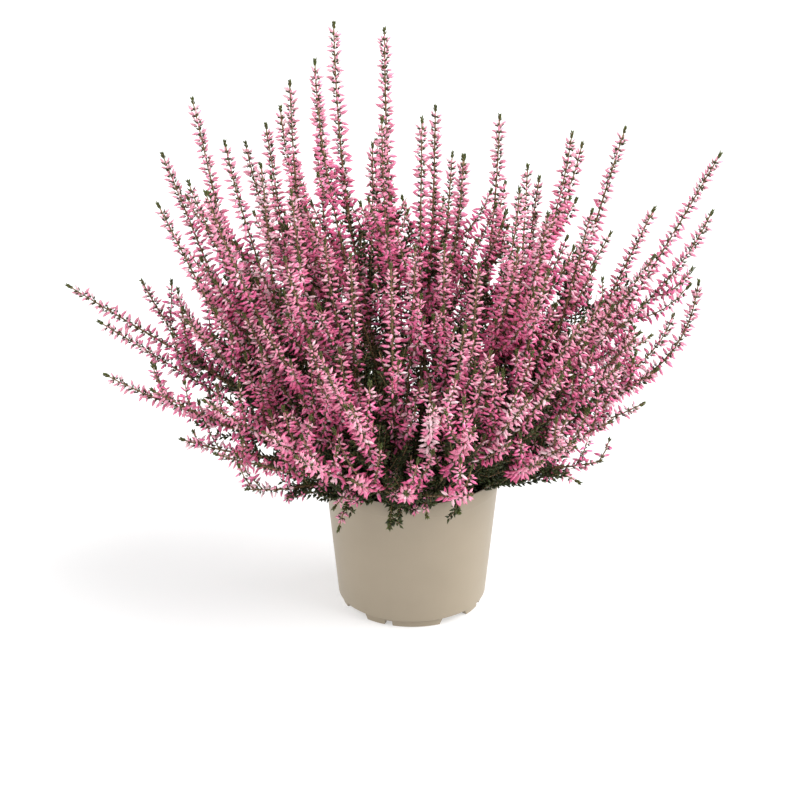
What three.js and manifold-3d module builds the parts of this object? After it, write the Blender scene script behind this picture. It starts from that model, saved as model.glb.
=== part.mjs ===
// Potted heather: a plastic pot of compost that holds a round bush of budding sprays and
// a few green shoots. Millimetres, +Z up, origin in the plane of the pot's feet and in the
// middle of the bush's width and depth. Azimuths run anticlockwise from +X, in degrees, and
// -Y is the front.
import * as THREE from 'three';
import { mergeVertices } from 'three/addons/utils/BufferGeometryUtils.js';
import Module from 'manifold-3d';

const wasm = await Module();
wasm.setup();

// ---------------------------------------------------------------- driving dimensions

const CLEARANCE = 0.3; // between pieces that touch on the real plant

// The bush leans out further to the left and the back, so the pot stands off the middle of it.
// All sizes below are worked out from the pot's axis, and each finished solid is then set here.
const POT_AXIS = [13.3, -16.8, 0];

const POT = {
  height: 90,
  rimRadius: 55,
  bandHeight: 10, // the band below the rim, which stands a little proud of the wall
  bandStep: 0.6,
  baseRadius: 46.3, // outer radius at the wall's lower edge
  baseHeight: 5, // the wall's lower edge and the underside of the base stand this high
  wall: 1.2,
  floor: 1.6,
  sides: 40,
};
POT.shoulderRadius = POT.rimRadius - 0.8; // outer radius of the band at its lower edge

// The foot ring under the base is cut by four wide gaps and four shallow notches.
const FOOT = {
  outerRadius: 44,
  innerRadius: 40.5,
  gapHeight: 4.4,
  gapFrom: 23,
  gapTo: 51,
  gapSlope: 3, // degrees by which each end of a gap leans in at its top
  notchHeight: 3,
  notchFrom: 67,
  notchTo: 74,
  front: -90, // the azimuth from which these angles are counted
  repeats: 4,
};

const SOIL = { surface: 80, crown: 1.5, edgeDrop: 1.5, sides: 24 };

const STEM = {
  radius: 1.2, // from the axis to a corner of its four-sided section
  footDepth: 12, // how far it stands in the compost
  footRise: 2, // height above the compost at which it starts to lean
  tipRadius: 0.7,
  innermost: 3, // where an upright stem stands, from the pot's axis
  outermost: 41, // where the lowest stem stands
  lowestLean: 74,
  outward: 0.85, // power by which the stems move outward with their lean
  leanAtFoot: 0.1, // its own lean there, as a share of the square of the whole stem's lean
  mostAtFoot: 50, // and its greatest lean there, so that it clears the rim
  leanAtTip: 0.1, // its own lean at the tip, as a share of the whole stem's lean
  endsUpright: 20, // the lean up to which a stem ends upright but for that share
  moreAtTip: 1.1, // what each degree beyond it adds to the lean at the tip
  hold: 0.45, // how long it keeps these leans, as a share of its length
};

// A side stem leaves its main stem at a share of that stem's length, and each further one later.
const FORK = { first: 0.2, next: 0.12, spread: 0.7, holdAtRoot: 0.22, holdAtTip: 0.4 };

const SPIKE = {
  whorlAtTip: 6.5, // between one pair of buds and the next, at the stem's tip
  whorlAtFoot: 19, // and at its foot, where the spikes crowd and hide each other
  budReach: 7.2, // from the stem's axis to a bud's tip
  budLift: 0.35, // how far a bud points up the stem, as a share of its reach
  core: 1.5, // the stem's own radius between the buds
  turn: 22, // degrees by which each pair of buds turns on from the square
  spread: 0.15, // random share by which a reach is longer or shorter
  taper: 0.45, // share of the reach that is lost by the last buds
  taperOver: 0.3, // share of the length over which it is lost
  bareTip: 9, // the green tip beyond the last buds, at most this share of a short stem
  bareShare: 0.2,
  mainStart: 0.24, // where the buds start, as a share of the stem's length
  sideStart: 0.1,
};

// The pairs of leaves below the buds, and those of the low shoots, which are smaller and closer.
const LEAVES = { step: 16, reach: 4.2, stepOnShoot: 7, reachOnShoot: 3.4, lift: 0.35, core: 1.1 };

// Each flowering spray: its main spike, then its side spikes. A spike is the azimuth, the lean
// from upright and the distance of its tip, seen from the middle of the compost's surface, and
// for some the lean of its last stretch.
const SPRAYS = [
  // the crown
  [[174, 9, 294], [195, 12, 280]],
  [[146, 4, 286], [233, 7, 244]],
  [[50, 5, 238], [284, 5, 242], [348, 8, 216]],
  [[172, 16, 264], [154, 21, 246]],
  [[133, 20, 244], [112, 18, 210], [98, 29, 186]],
  [[16, 13, 238], [6, 23, 242], [21, 28, 234]],
  [[347, 18, 222], [324, 20, 220]],
  // the upper left
  [[176, 28, 276], [190, 26, 252]],
  [[178, 35, 258], [191, 33, 244]],
  [[193, 38, 246], [205, 32, 246]],
  [[146, 27, 238], [161, 27, 234]],
  [[193, 23, 232], [213, 22, 222]],
  // the upper right
  [[30, 26, 204], [37, 37, 196]],
  [[21, 33, 254], [31, 47, 200]],
  [[349, 30, 214], [330, 25, 212]],
  [[356, 38, 232], [348, 42, 216]],
  [[3, 41, 278], [355, 44, 254, 20]],
  // the right
  [[5, 54, 216, 4], [17, 62, 194, 14]],
  [[350, 60, 172], [341, 43, 182]],
  [[341, 50, 184], [328, 52, 178], [344, 64, 160]],
  [[329, 62, 154], [314, 62, 152]],
  [[335, 73, 130], [305, 64, 144]],
  // the left
  [[177, 59, 244, 57], [185, 59, 220, 55]],
  [[191, 65, 206], [201, 62, 186]],
  [[168, 55, 208, 25], [155, 60, 190, 32]],
  [[202, 70, 158], [216, 68, 154]],
  [[223, 74, 138], [215, 58, 174]],
  // the front
  [[205, 40, 170], [200, 48, 190], [211, 57, 150]],
  [[233, 38, 162], [221, 40, 180], [229, 53, 140]],
  [[239, 22, 186], [221, 21, 188], [223, 30, 200]],
  [[261, 25, 192], [271, 19, 188]],
  [[298, 25, 188], [287, 19, 188], [318, 25, 192]],
  [[245, 62, 176], [235, 59, 172], [226, 67, 140]],
  [[255, 51, 174], [247, 45, 176]],
  [[294, 40, 168], [288, 34, 170], [298, 58, 140]],
  [[284, 55, 170], [275, 50, 170]],
  [[268, 67, 142], [255, 65, 148], [284, 68, 146]],
  [[310, 49, 174], [300, 51, 170], [319, 64, 140]],
  [[331, 41, 190], [320, 42, 188], [318, 32, 196]],
  // the back
  [[50, 48, 214], [64, 42, 206], [58, 58, 196]],
  [[78, 36, 214], [70, 28, 206], [84, 48, 206]],
  [[100, 40, 212], [94, 54, 204], [110, 56, 180]],
  [[122, 40, 214], [116, 54, 206], [132, 48, 204]],
  [[142, 50, 212], [150, 42, 220], [160, 48, 200]],
  [[40, 66, 198], [28, 70, 186]],
  [[74, 68, 194], [60, 64, 190]],
  [[104, 68, 194], [88, 66, 188]],
  [[134, 67, 194], [120, 66, 188], [146, 70, 180]],
];

// Each low shoot, which bends over the rim: its azimuth, how far its tip reaches from the pot's
// axis, the tip's height, and the share of its length that is green before its buds start.
const SHOOTS = [
  [234, 76, 76, 0.75],
  [241, 96, 102, 0.4],
  [258, 66, 79, 1],
  [263, 65, 85, 1],
  [276, 80, 94, 0.5],
  [295, 66, 87, 1],
  [340, 108, 96, 0.7],
  [22, 84, 96, 0.6],
  [112, 72, 86, 1],
  [165, 80, 90, 0.6],
];
const SHOOT = {
  foot: 45, // where it stands, from the pot's axis
  rise: 16, // how high it keeps upright
  crest: 22, // how far above the rim it is drawn up before it bends over
  crestShare: 0.45, // where that is, between its foot and its tip
};

const COLOURS = {
  pot: '#a89c8a',
  soil: '#3a2c22',
  buds: ['#dd6a9c', '#cf6692', '#e079a6', '#c85f88'],
  leaf: '#4d5f34',
};

// ---------------------------------------------------------------- solids and meshes

// The closed solid of a geometry: its shared corners merged and its empty triangles dropped.
function solidOf(geometry) {
  const bare = geometry.clone();
  bare.deleteAttribute('normal');
  bare.deleteAttribute('uv');
  const merged = mergeVertices(bare, 1e-4);
  const index = merged.index.array;
  const triangles = [];
  for (let i = 0; i < index.length; i += 3) {
    const [a, b, c] = [index[i], index[i + 1], index[i + 2]];
    if (a !== b && b !== c && c !== a) triangles.push(a, b, c);
  }
  return new wasm.Manifold(new wasm.Mesh({
    numProp: 3,
    vertProperties: new Float32Array(merged.attributes.position.array),
    triVerts: new Uint32Array(triangles),
  }));
}

function geometryOf(solid) {
  const mesh = solid.getMesh();
  const geometry = new THREE.BufferGeometry();
  const corners = new Float32Array(mesh.numVert * 3);
  for (let i = 0; i < mesh.numVert; i += 1) {
    for (let k = 0; k < 3; k += 1) corners[3 * i + k] = mesh.vertProperties[mesh.numProp * i + k];
  }
  geometry.setAttribute('position', new THREE.BufferAttribute(corners, 3));
  geometry.setIndex(new THREE.BufferAttribute(new Uint32Array(mesh.triVerts), 1));
  geometry.computeVertexNormals();
  return geometry;
}

function meshOf(name, solid, colour, roughness) {
  const material = new THREE.MeshStandardMaterial({ color: colour, roughness, metalness: 0 });
  const mesh = new THREE.Mesh(geometryOf(solid.translate(POT_AXIS)), material);
  mesh.name = name;
  return mesh;
}

// A profile of [radius, height] points turned round the Z axis.
function turned(profile, sides) {
  const points = profile.map(([radius, height]) => new THREE.Vector2(radius, height));
  return new THREE.LatheGeometry(points, sides).rotateX(Math.PI / 2);
}

// A block between two azimuths, straight from its inner to its outer radius, whose ends lean in
// by slope degrees at the top.
function wedge({ from, to, slope, inner, outer, bottom, top }) {
  const corner = (azimuth, radius, height) => {
    const a = THREE.MathUtils.degToRad(azimuth);
    return [radius * Math.cos(a), radius * Math.sin(a), height];
  };
  const level = (low, high, height) => [
    corner(low, inner, height),
    corner(low, outer, height),
    corner(high, outer, height),
    corner(high, inner, height),
  ];
  const corners = [...level(from, to, bottom), ...level(from + slope, to - slope, top)];
  const faces = [[3, 2, 1, 0], [4, 5, 6, 7], [0, 1, 5, 4], [1, 2, 6, 5], [2, 3, 7, 6], [3, 0, 4, 7]];
  const geometry = new THREE.BufferGeometry();
  geometry.setAttribute('position', new THREE.Float32BufferAttribute(corners.flat(), 3));
  geometry.setIndex(faces.flatMap(([a, b, c, d]) => [a, b, c, a, c, d]));
  return geometry;
}

// ---------------------------------------------------------------- the pot

// Outer radius of the pot's wall below its band.
function wallRadius(height) {
  const top = POT.height - POT.bandHeight;
  const along = (height - POT.baseHeight) / (top - POT.baseHeight);
  const shoulder = POT.shoulderRadius - POT.bandStep;
  return POT.baseRadius + along * (shoulder - POT.baseRadius);
}

const POT_FLOOR = POT.baseHeight + POT.floor;

function potSolid() {
  const band = POT.height - POT.bandHeight;
  const profile = [
    [0, POT.baseHeight],
    [FOOT.innerRadius, POT.baseHeight],
    [FOOT.innerRadius, 0],
    [FOOT.outerRadius, 0],
    [FOOT.outerRadius, POT.baseHeight],
    [POT.baseRadius, POT.baseHeight],
    [wallRadius(band), band],
    [POT.shoulderRadius, band],
    [POT.rimRadius, POT.height],
    [POT.rimRadius - POT.wall, POT.height],
    [wallRadius(POT_FLOOR) - POT.wall, POT_FLOOR],
    [0, POT_FLOOR],
  ];
  let pot = solidOf(turned(profile, POT.sides));
  const cutAcross = { inner: FOOT.innerRadius - 6, outer: FOOT.outerRadius + 8, bottom: -1 };
  for (let k = 0; k < FOOT.repeats; k += 1) {
    const start = FOOT.front + (k * 360) / FOOT.repeats;
    const gap = wedge({
      ...cutAcross,
      from: start + FOOT.gapFrom,
      to: start + FOOT.gapTo,
      slope: FOOT.gapSlope,
      top: FOOT.gapHeight,
    });
    const notch = wedge({
      ...cutAcross,
      from: start + FOOT.notchFrom,
      to: start + FOOT.notchTo,
      slope: 0,
      top: FOOT.notchHeight,
    });
    pot = pot.subtract(solidOf(gap)).subtract(solidOf(notch));
  }
  return pot;
}

// ---------------------------------------------------------------- the ways the stems take

// Direction of a line that leans from upright towards an azimuth.
function leaning(azimuth, lean) {
  const a = THREE.MathUtils.degToRad(azimuth);
  const l = THREE.MathUtils.degToRad(lean);
  return new THREE.Vector3(Math.sin(l) * Math.cos(a), Math.sin(l) * Math.sin(a), Math.cos(l));
}

const SOIL_CENTRE = new THREE.Vector3(0, 0, SOIL.surface);

function tipOf([azimuth, lean, distance]) {
  return leaning(azimuth, lean).multiplyScalar(distance).add(SOIL_CENTRE);
}

// The direction in which a spike ends, more upright than the line from the compost to its tip.
function endOf([azimuth, lean, , leanAtTip]) {
  const beyond = Math.max(0, lean - STEM.endsUpright);
  return leaning(azimuth, leanAtTip ?? STEM.leanAtTip * lean + STEM.moreAtTip * beyond);
}

// A main stem rises from the compost at the azimuth it leans to, the further out the lower it
// leans, and bows up towards its tip.
function mainCurve(spike) {
  const [azimuth, lean] = spike;
  const outward = (lean / STEM.lowestLean) ** STEM.outward;
  const out = THREE.MathUtils.lerp(STEM.innermost, STEM.outermost, outward);
  const foot = leaning(azimuth, 90).multiplyScalar(out).add(SOIL_CENTRE);
  foot.z += STEM.footRise;
  const tip = tipOf(spike);
  const hold = STEM.hold * foot.distanceTo(tip);
  const leanAtFoot = Math.min(STEM.leanAtFoot * lean ** 2, STEM.mostAtFoot);
  return new THREE.CubicBezierCurve3(
    foot,
    foot.clone().addScaledVector(leaning(azimuth, leanAtFoot), hold),
    tip.clone().addScaledVector(endOf(spike), -hold),
    tip,
  );
}

// A side stem leaves its main stem at an angle and bends up towards its own tip.
function sideCurve(main, spike, order) {
  const leaves = FORK.first + FORK.next * order;
  const root = main.getPoint(leaves);
  const along = main.getTangent(leaves);
  const tip = tipOf(spike);
  const span = root.distanceTo(tip);
  const across = tip.clone().sub(root).projectOnPlane(along).normalize();
  const start = along.addScaledVector(across, FORK.spread).normalize();
  return new THREE.CubicBezierCurve3(
    root,
    root.clone().addScaledVector(start, FORK.holdAtRoot * span),
    tip.clone().addScaledVector(endOf(spike), -FORK.holdAtTip * span),
    tip,
  );
}

// A low shoot rises clear of the rim and bends over it to its tip.
function shootCurve([azimuth, reach, height]) {
  const at = (out, z) => leaning(azimuth, 90).multiplyScalar(out).setZ(z);
  const foot = at(SHOOT.foot, SOIL.surface + STEM.footRise);
  const crest = THREE.MathUtils.lerp(SHOOT.foot, reach, SHOOT.crestShare);
  return new THREE.CubicBezierCurve3(
    foot,
    at(SHOOT.foot, foot.z + SHOOT.rise),
    at(crest, POT.height + SHOOT.crest),
    at(reach, height),
  );
}

// ---------------------------------------------------------------- room between the stems

const SAMPLE_STEP = 3;

// Points along a curve about SAMPLE_STEP apart.
function samplesOf(curve) {
  return curve.getSpacedPoints(Math.ceil(curve.getLength() / SAMPLE_STEP));
}

// Distance from a point to the pot's rim, its outer wall or the compost, whichever is nearest.
function roomAbovePot(point) {
  const out = Math.hypot(point.x, point.y);
  const rim = Math.hypot(out - (POT.rimRadius - POT.wall / 2), point.z - POT.height) - POT.wall;
  if (out > POT.rimRadius && point.z < POT.height) return out - POT.rimRadius;
  if (out < POT.rimRadius) return Math.min(rim, point.z - SOIL.surface - SOIL.crown);
  return rim;
}

// How far a stem may reach sideways at a point, so that it meets neither the pot nor any other
// stem: half the distance to the nearest sample of the others, less the clearance.
function roomAt(point, others) {
  let nearest = Infinity;
  for (const samples of others) {
    for (const sample of samples) nearest = Math.min(nearest, point.distanceToSquared(sample));
  }
  const between = Math.sqrt(nearest) / 2 - CLEARANCE;
  return Math.min(between, roomAbovePot(point) - CLEARANCE);
}

// ---------------------------------------------------------------- studded stems

// Seeded random numbers from 0 to 1 (mulberry32).
function randomFrom(seed) {
  let state = seed;
  return () => {
    state = (state + 0x6d2b79f5) | 0;
    let t = Math.imul(state ^ (state >>> 15), 1 | state);
    t = (t + Math.imul(t ^ (t >>> 7), 61 | t)) ^ t;
    return ((t ^ (t >>> 14)) >>> 0) / 4294967296;
  };
}

const CORNERS = 4;

// A closed tube of four-cornered rings. A ring has its centre, its axis, the angle by which it
// turns on from the ring before and, for its corners in turn, the reach of a stud or of the stem
// between two studs. The studs of one ring stand over the hollows of the next, and each wall
// between two rings is folded from hollow to hollow, so that every stud is a pyramid of its own.
function studdedTube(rings) {
  const corners = [];
  let side = new THREE.Vector3(1, 0, 0);
  rings.forEach((ring, k) => {
    side = side.projectOnPlane(ring.axis).normalize().applyAxisAngle(ring.axis, ring.turn);
    const across = new THREE.Vector3().crossVectors(ring.axis, side);
    for (let j = 0; j < CORNERS; j += 1) {
      const stud = (j + k) % 2 === 0;
      const reach = stud ? ring.reach : ring.core;
      const angle = (j / CORNERS) * 2 * Math.PI;
      const corner = ring.centre.clone()
        .addScaledVector(side, reach * Math.cos(angle))
        .addScaledVector(across, reach * Math.sin(angle));
      if (stud) corner.addScaledVector(ring.axis, ring.lift * reach);
      corners.push(...corner.toArray());
    }
  });
  const index = [];
  for (let k = 0; k + 1 < rings.length; k += 1) {
    for (let j = 0; j < CORNERS; j += 1) {
      const a = k * CORNERS + j;
      const b = k * CORNERS + ((j + 1) % CORNERS);
      const c = b + CORNERS;
      const d = a + CORNERS;
      if ((j + k) % 2 === 0) index.push(a, b, d, b, c, d);
      else index.push(a, b, c, a, c, d);
    }
  }
  const last = (rings.length - 1) * CORNERS;
  index.push(0, 2, 1, 0, 3, 2, last, last + 1, last + 2, last, last + 2, last + 3);
  const geometry = new THREE.BufferGeometry();
  geometry.setAttribute('position', new THREE.Float32BufferAttribute(corners, 3));
  geometry.setIndex(index);
  return geometry;
}

// A ring with no studs.
function plainRing(centre, axis, radius) {
  return { centre, axis, turn: 0, reach: radius, core: radius, lift: 0 };
}

// The two rings of a stem's upright foot, from its end in the compost.
function footRings(foot) {
  const up = new THREE.Vector3(0, 0, 1);
  const end = foot.clone();
  end.z = SOIL.surface - STEM.footDepth + CLEARANCE;
  return [plainRing(end, up, STEM.radius), plainRing(foot, up, STEM.radius)];
}

// The rings along a curve: pairs of leaves at first and then, from flowersFrom of the length,
// pairs of buds, up to the bare tip. Each reach is cut to the room there is, down to the stem.
function studRings(curve, { flowersFrom, leafStep, leafReach, others, random }) {
  const length = curve.getLength();
  const bare = Math.min(SPIKE.bareTip, SPIKE.bareShare * length);
  const rings = [];
  let at = leafStep;
  while (at < length - bare) {
    const share = at / length;
    const flower = share >= flowersFrom;
    const centre = curve.getPointAt(share);
    const axis = curve.getTangentAt(share);
    const fromLast = Math.min(1, (length - bare - at) / (SPIKE.taperOver * length));
    const full = flower ? SPIKE.budReach * (1 - SPIKE.taper * (1 - fromLast)) : leafReach;
    const wanted = full * (1 + SPIKE.spread * (2 * random() - 1));
    const room = Math.min(
      roomAt(centre, others),
      roomAt(centre.clone().addScaledVector(axis, -leafStep / 3), others),
      roomAt(centre.clone().addScaledVector(axis, leafStep / 3), others),
    );
    const core = Math.min(flower ? SPIKE.core : LEAVES.core, Math.max(room, STEM.tipRadius));
    rings.push({
      centre,
      axis,
      turn: THREE.MathUtils.degToRad(SPIKE.turn),
      reach: Math.max(Math.min(wanted, room), core),
      core,
      lift: flower ? SPIKE.budLift : LEAVES.lift,
    });
    at += flower ? THREE.MathUtils.lerp(SPIKE.whorlAtFoot, SPIKE.whorlAtTip, share) : leafStep;
  }
  const end = curve.getTangentAt(1);
  rings.push(plainRing(curve.getPointAt(1 - bare / 2 / length), end, STEM.radius));
  rings.push(plainRing(curve.getPointAt(1), end, STEM.tipRadius));
  return rings;
}

// ---------------------------------------------------------------- the plant

// All curves of the plant, spray by spray, so that each can keep clear of the others.
const sprayCurves = SPRAYS.map(([main, ...sides]) => {
  const stem = mainCurve(main);
  return [stem, ...sides.map((spike, order) => sideCurve(stem, spike, order))];
});
const shootCurves = SHOOTS.map(shootCurve);
const plants = [...sprayCurves, ...shootCurves.map((curve) => [curve])];
const plantSamples = plants.map((curves) => curves.map(samplesOf));

function samplesOfOthers(plant) {
  return plantSamples.flatMap((samples, k) => (k === plant ? [] : samples));
}

function spraySolid(spray) {
  const [main, ...sides] = sprayCurves[spray];
  const random = randomFrom(100 + spray);
  const others = samplesOfOthers(spray);
  const leaves = { leafStep: LEAVES.step, leafReach: LEAVES.reach };
  const mainRings = studRings(main, {
    ...leaves,
    flowersFrom: SPIKE.mainStart,
    others: [...others, ...plantSamples[spray].slice(1).map(pastItsRoot)],
    random,
  });
  let solid = solidOf(studdedTube([...footRings(main.v0), ...mainRings]));
  sides.forEach((side, order) => {
    const sisters = plantSamples[spray].filter((samples, k) => k !== order + 1);
    const rings = studRings(side, {
      ...leaves,
      flowersFrom: SPIKE.sideStart,
      others: [...others, ...sisters.map(pastItsRoot)],
      random,
    });
    const root = plainRing(side.v0, side.getTangentAt(0), STEM.tipRadius);
    solid = solid.add(solidOf(studdedTube([root, ...rings])));
  });
  return solid;
}

// A sister stem's samples without its first third, where the two have grown from one.
function pastItsRoot(samples) {
  return samples.slice(Math.round(samples.length / 3));
}

function shootSolid(shoot) {
  const curve = shootCurves[shoot];
  const rings = studRings(curve, {
    flowersFrom: SHOOTS[shoot][3],
    leafStep: LEAVES.stepOnShoot,
    leafReach: LEAVES.reachOnShoot,
    others: samplesOfOthers(sprayCurves.length + shoot),
    random: randomFrom(500 + shoot),
  });
  return solidOf(studdedTube([...footRings(curve.v0), ...rings]));
}

// ---------------------------------------------------------------- the compost

// The compost fills the pot to below its rim, with a hole for the foot of each stem.
function soilSolid() {
  const bottom = POT_FLOOR + CLEARANCE;
  const edge = SOIL.surface - SOIL.edgeDrop;
  const inside = (height) => wallRadius(height) - POT.wall - CLEARANCE;
  const profile = [
    [0, bottom],
    [inside(bottom), bottom],
    [inside(edge), edge],
    [STEM.outermost + 6, SOIL.surface],
    [0, SOIL.surface + SOIL.crown],
  ];
  let soil = solidOf(turned(profile, SOIL.sides));
  const up = new THREE.Vector3(0, 0, 1);
  const holeRadius = STEM.radius + CLEARANCE * Math.SQRT2;
  for (const [stem] of plants) {
    const bottomOfHole = stem.v0.clone().setZ(SOIL.surface - STEM.footDepth);
    const above = stem.v0.clone().setZ(SOIL.surface + 2 * SOIL.crown + 1);
    const rings = [plainRing(bottomOfHole, up, holeRadius), plainRing(above, up, holeRadius)];
    soil = soil.subtract(solidOf(studdedTube(rings)));
  }
  return soil;
}

// ---------------------------------------------------------------- the assembly

const group = new THREE.Group();
group.add(meshOf('pot', potSolid(), COLOURS.pot, 0.55));
group.add(meshOf('soil', soilSolid(), COLOURS.soil, 1));
sprayCurves.forEach((curves, k) => {
  const name = `spray_${String(k + 1).padStart(2, '0')}`;
  group.add(meshOf(name, spraySolid(k), COLOURS.buds[k % COLOURS.buds.length], 0.7));
});
shootCurves.forEach((curve, k) => {
  group.add(meshOf(`leafy_shoot_${k + 1}`, shootSolid(k), COLOURS.leaf, 0.8));
});

export default group;
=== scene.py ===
# %% [markdown]
# # A potted heather
#
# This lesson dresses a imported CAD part, a heather in a moulded pot, with fine geometry and
# procedural materials. The CAD part holds one solid for the pot, one for the compost and one
# for each spray of the bush. Each of them is replaced here by a piece that keeps its place and
# its way through the air, and that carries buds and bracts of their real size.
#
# Lengths are in millimetres from the pot's axis, in the plane of its feet, and become metres
# in the part's frame only where a mesh is stored. Azimuths run anticlockwise from +X, and -Y
# is the front.

import bpy
import numpy as np
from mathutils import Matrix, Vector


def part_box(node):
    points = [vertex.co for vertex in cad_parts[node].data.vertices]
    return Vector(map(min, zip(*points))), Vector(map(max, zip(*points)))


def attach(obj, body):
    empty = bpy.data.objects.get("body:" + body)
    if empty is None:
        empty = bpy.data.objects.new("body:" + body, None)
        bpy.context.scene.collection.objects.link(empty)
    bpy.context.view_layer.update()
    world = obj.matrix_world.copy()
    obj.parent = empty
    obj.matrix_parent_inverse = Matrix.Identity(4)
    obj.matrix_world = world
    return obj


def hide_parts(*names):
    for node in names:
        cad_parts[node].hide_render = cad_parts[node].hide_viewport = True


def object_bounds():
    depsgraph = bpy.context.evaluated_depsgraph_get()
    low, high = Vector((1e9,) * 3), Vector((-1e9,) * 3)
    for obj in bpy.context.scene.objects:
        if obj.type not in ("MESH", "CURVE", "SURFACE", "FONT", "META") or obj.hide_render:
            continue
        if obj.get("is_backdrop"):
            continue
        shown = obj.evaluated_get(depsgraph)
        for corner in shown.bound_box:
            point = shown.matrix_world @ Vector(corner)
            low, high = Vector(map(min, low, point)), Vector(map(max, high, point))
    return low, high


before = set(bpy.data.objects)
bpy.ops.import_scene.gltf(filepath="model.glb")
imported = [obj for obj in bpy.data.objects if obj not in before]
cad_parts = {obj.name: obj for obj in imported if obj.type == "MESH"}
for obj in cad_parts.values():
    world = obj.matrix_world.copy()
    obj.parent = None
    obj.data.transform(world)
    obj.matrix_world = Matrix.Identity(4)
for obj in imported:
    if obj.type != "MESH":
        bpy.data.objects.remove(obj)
cad_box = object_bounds()
MM = 0.001
pot_low, pot_high = (np.array(corner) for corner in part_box("pot"))
POT_AXIS = np.array([*(pot_low + pot_high)[:2] / 2, pot_low[2]])
print(f"{len(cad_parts)} CAD nodes; pot's axis at {(POT_AXIS / MM).round(1)} mm")

# %% [markdown]
# ## Colours and nodes
#
# Colours are written as hex values, the way a paint chart or a picture editor gives them.
# Blender's shaders work with linear light, so one function converts them. A second one adds a
# node to a material, gives it its settings and links its inputs. The nodes that every material
# needs, such as a mix of two colours or a ramp, have a function each, so that a material is
# short enough to read from top to bottom.

# %% Helpers for materials
MIX_FACTOR, MIX_A, MIX_B, MIX_RESULT = 0, 6, 7, 2  # a colour Mix node's own sockets


def linear(colour):
    """Linear red, green, blue and alpha of a hex sRGB colour: the standard sRGB curve, undone."""
    srgb = np.array([int(colour[i:i + 2], 16) for i in (1, 3, 5)]) / 255
    light = np.where(srgb <= 0.04045, srgb / 12.92, ((srgb + 0.055) / 1.055) ** 2.4)
    return (*light, 1.0)


def add(tree, kind, inputs=None, **settings):
    """Adds a node of a kind to a tree. Each input is a value to set or an output to link."""
    node = tree.nodes.new("ShaderNode" + kind)
    for name, value in settings.items():
        setattr(node, name, value)
    for name, value in (inputs or {}).items():
        if isinstance(value, bpy.types.NodeSocket):
            tree.links.new(value, node.inputs[name])
        else:
            node.inputs[name].default_value = value
    return node


def empty_material(name):
    """A material with nothing in its node tree, and that tree."""
    material = bpy.data.materials.new(name)
    material.use_nodes = True
    material.node_tree.nodes.clear()
    return material, material.node_tree


def noise(tree, place, size, detail):
    """A noise from 0 to 1 whose lumps are about a size in mm across."""
    inputs = {"Vector": place, "Scale": 1 / (size * MM), "Detail": detail}
    return add(tree, "TexNoise", inputs).outputs["Fac"]


def stored(tree, *names):
    """The numbers that are stored on the mesh under these names."""
    return [add(tree, "Attribute", attribute_name=name).outputs["Fac"] for name in names]


def ramp(tree, value, start, end, top=1.0):
    """An even ramp: 0 where the value is at its start or before, top where it is at its end."""
    inputs = {"Value": value, "From Min": start, "From Max": end, "To Max": top}
    return add(tree, "MapRange", inputs).outputs["Result"]


def mix(tree, factor, first, second):
    """The first colour at a factor of 0, the second at 1. Each is a hex value or an output."""
    first, second = (linear(c) if isinstance(c, str) else c for c in (first, second))
    inputs = {MIX_FACTOR: factor, MIX_A: first, MIX_B: second}
    return add(tree, "Mix", inputs, data_type="RGBA").outputs[MIX_RESULT]


def relief(tree, height, strength, depth):
    """A surface direction that follows a height as if it were a depth in mm."""
    inputs = {"Height": height, "Strength": strength, "Distance": depth * MM}
    return add(tree, "Bump", inputs).outputs["Normal"]


def finish_material(tree, inputs):
    """Adds the surface with its inputs, and links it to the tree's output."""
    shader = add(tree, "BsdfPrincipled", inputs)
    output = tree.nodes.new("ShaderNodeOutputMaterial")
    tree.links.new(shader.outputs[0], output.inputs["Surface"])


# %% [markdown]
# ## The pot's plastic
#
# Such pots are injection moulded in polypropylene, coloured taupe right through. The mould is
# spark eroded, which leaves a fine grain that breaks the gloss into a soft sheen, and the melt
# leaves faint cloudy changes of tone. So the colour runs between two close hex values by a
# noise of some centimetres, and the bump is a fine noise. A real grain of 0.1 mm would be lost
# at the size of the picture, so it is drawn at 0.6 mm and very low.

# %% Moulded polypropylene
POT_CLOUD = 28  # mm across a cloud of tone
POT_GRAIN = 0.6

moulded_polypropylene, tree = empty_material("moulded_polypropylene")
place = add(tree, "TexCoord").outputs["Object"]
cloud = noise(tree, place, POT_CLOUD, 3.0)
grain = noise(tree, place, POT_GRAIN, 1.0)
finish_material(tree, {
    "Base Color": mix(tree, cloud, "#968a76", "#a0937f"),
    "Roughness": 0.46,
    "IOR": 1.49,
    "Normal": relief(tree, grain, 0.25, 0.05),
})

# %% [markdown]
# ## Peat compost
#
# The compost is milled peat: dark crumbs and short fibres, moist and without any gloss. It
# shows only between the lowest shoots and from above. Its crumbs are real geometry, so the
# material only needs the brown of peat, blotched with drier, lighter bits of about 2 mm.

# %% Peat
PEAT_BLOTCH = 2.2  # mm across

peat, tree = empty_material("milled_peat")
blotch = noise(tree, add(tree, "TexCoord").outputs["Object"], PEAT_BLOTCH, 4.0)
finish_material(tree, {
    "Base Color": mix(tree, blotch, "#1c1410", "#54402f"),
    "Roughness": 0.95,
    "Specular IOR Level": 0.2,
    "Normal": relief(tree, blotch, 0.8, 0.6),
})
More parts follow.
